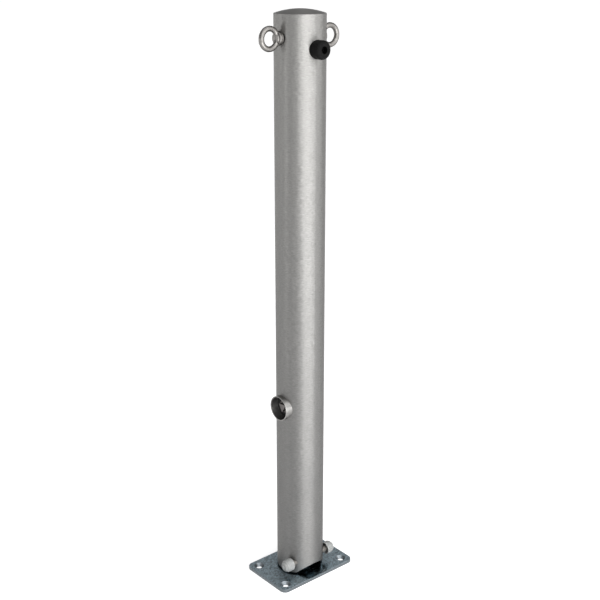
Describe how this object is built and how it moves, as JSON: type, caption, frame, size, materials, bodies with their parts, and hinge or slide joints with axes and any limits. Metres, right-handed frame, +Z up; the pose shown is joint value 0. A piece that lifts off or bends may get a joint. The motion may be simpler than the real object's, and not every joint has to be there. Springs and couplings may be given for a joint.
{
  "type": "fold-down barrier post",
  "caption": "Round stainless steel barrier post with a domed cap, ring bolts, a rubber buffer and a key lock; it folds down on a hinge at its base plate.",
  "frame": {"origin": "on the tube's axis, at the underside of the base plate", "axes": "+Z up along the post; the hinge lies along X; the post folds down towards -Y, where the buffer points; the lock faces -X"},
  "size_m": [0.15, 0.1031, 0.9064],
  "materials": {
    "galvanised": "hot-dip galvanised, dull bluish spangle",
    "brushed_stainless": "fine brushing round the tube",
    "polished_stainless": "polished stainless",
    "zinc_steel": "dull zinc plated",
    "black_steel": "black oxide",
    "cap_plastic": "pale grey, slightly satin",
    "black_rubber": "smooth black rubber"
  },
  "bodies": {
    "base": {"base_plate": "galvanised", "hinge_lug": "galvanised", "lock_socket": "galvanised"},
    "post": {"post_tube": "brushed_stainless", "top_cap": "brushed_stainless", "lock_collar": "brushed_stainless", "eye_bolt_left": "polished_stainless", "eye_bolt_right": "polished_stainless", "hinge_bush_left": "zinc_steel", "hinge_bush_right": "zinc_steel", "hinge_bolt": "zinc_steel", "hinge_nut": "zinc_steel", "lock_bearing": "zinc_steel", "upper_guide": "zinc_steel", "lower_guide": "zinc_steel", "eye_nut_left": "zinc_steel", "eye_nut_right": "zinc_steel", "buffer_washer": "zinc_steel", "buffer_nut": "zinc_steel", "buffer_screw": "black_steel", "bolt_cap_left": "cap_plastic", "bolt_cap_right": "cap_plastic", "buffer_pad": "black_rubber"},
    "lock_spindle": {"lock_spindle": "zinc_steel", "lock_crank": "zinc_steel", "crank_pin": "zinc_steel", "crank_screw": "zinc_steel"},
    "lock_rod": {"lock_rod": "zinc_steel", "rod_yoke": "zinc_steel", "yoke_pin": "zinc_steel"}
  },
  "joints": [
    {"name": "post_fold", "type": "hinge", "parent": "base", "child": "post", "pos_m": [0, -0.0205, 0.0257], "axis": [1, 0, 0], "range_deg": [0, 89.5]},
    {"name": "key_turn", "type": "hinge", "parent": "post", "child": "lock_spindle", "pos_m": [0, 0, 0.301], "axis": [-1, 0, 0], "range_deg": [0, 90]},
    {"name": "rod_drop", "type": "slide", "parent": "post", "child": "lock_rod", "axis": [0, 0, -1], "range_m": [0, 0.01273]}
  ],
  "couplings": [
    {"joint": "key_turn", "follows": "rod_drop", "rad_per_m": 123.41}
  ]
}
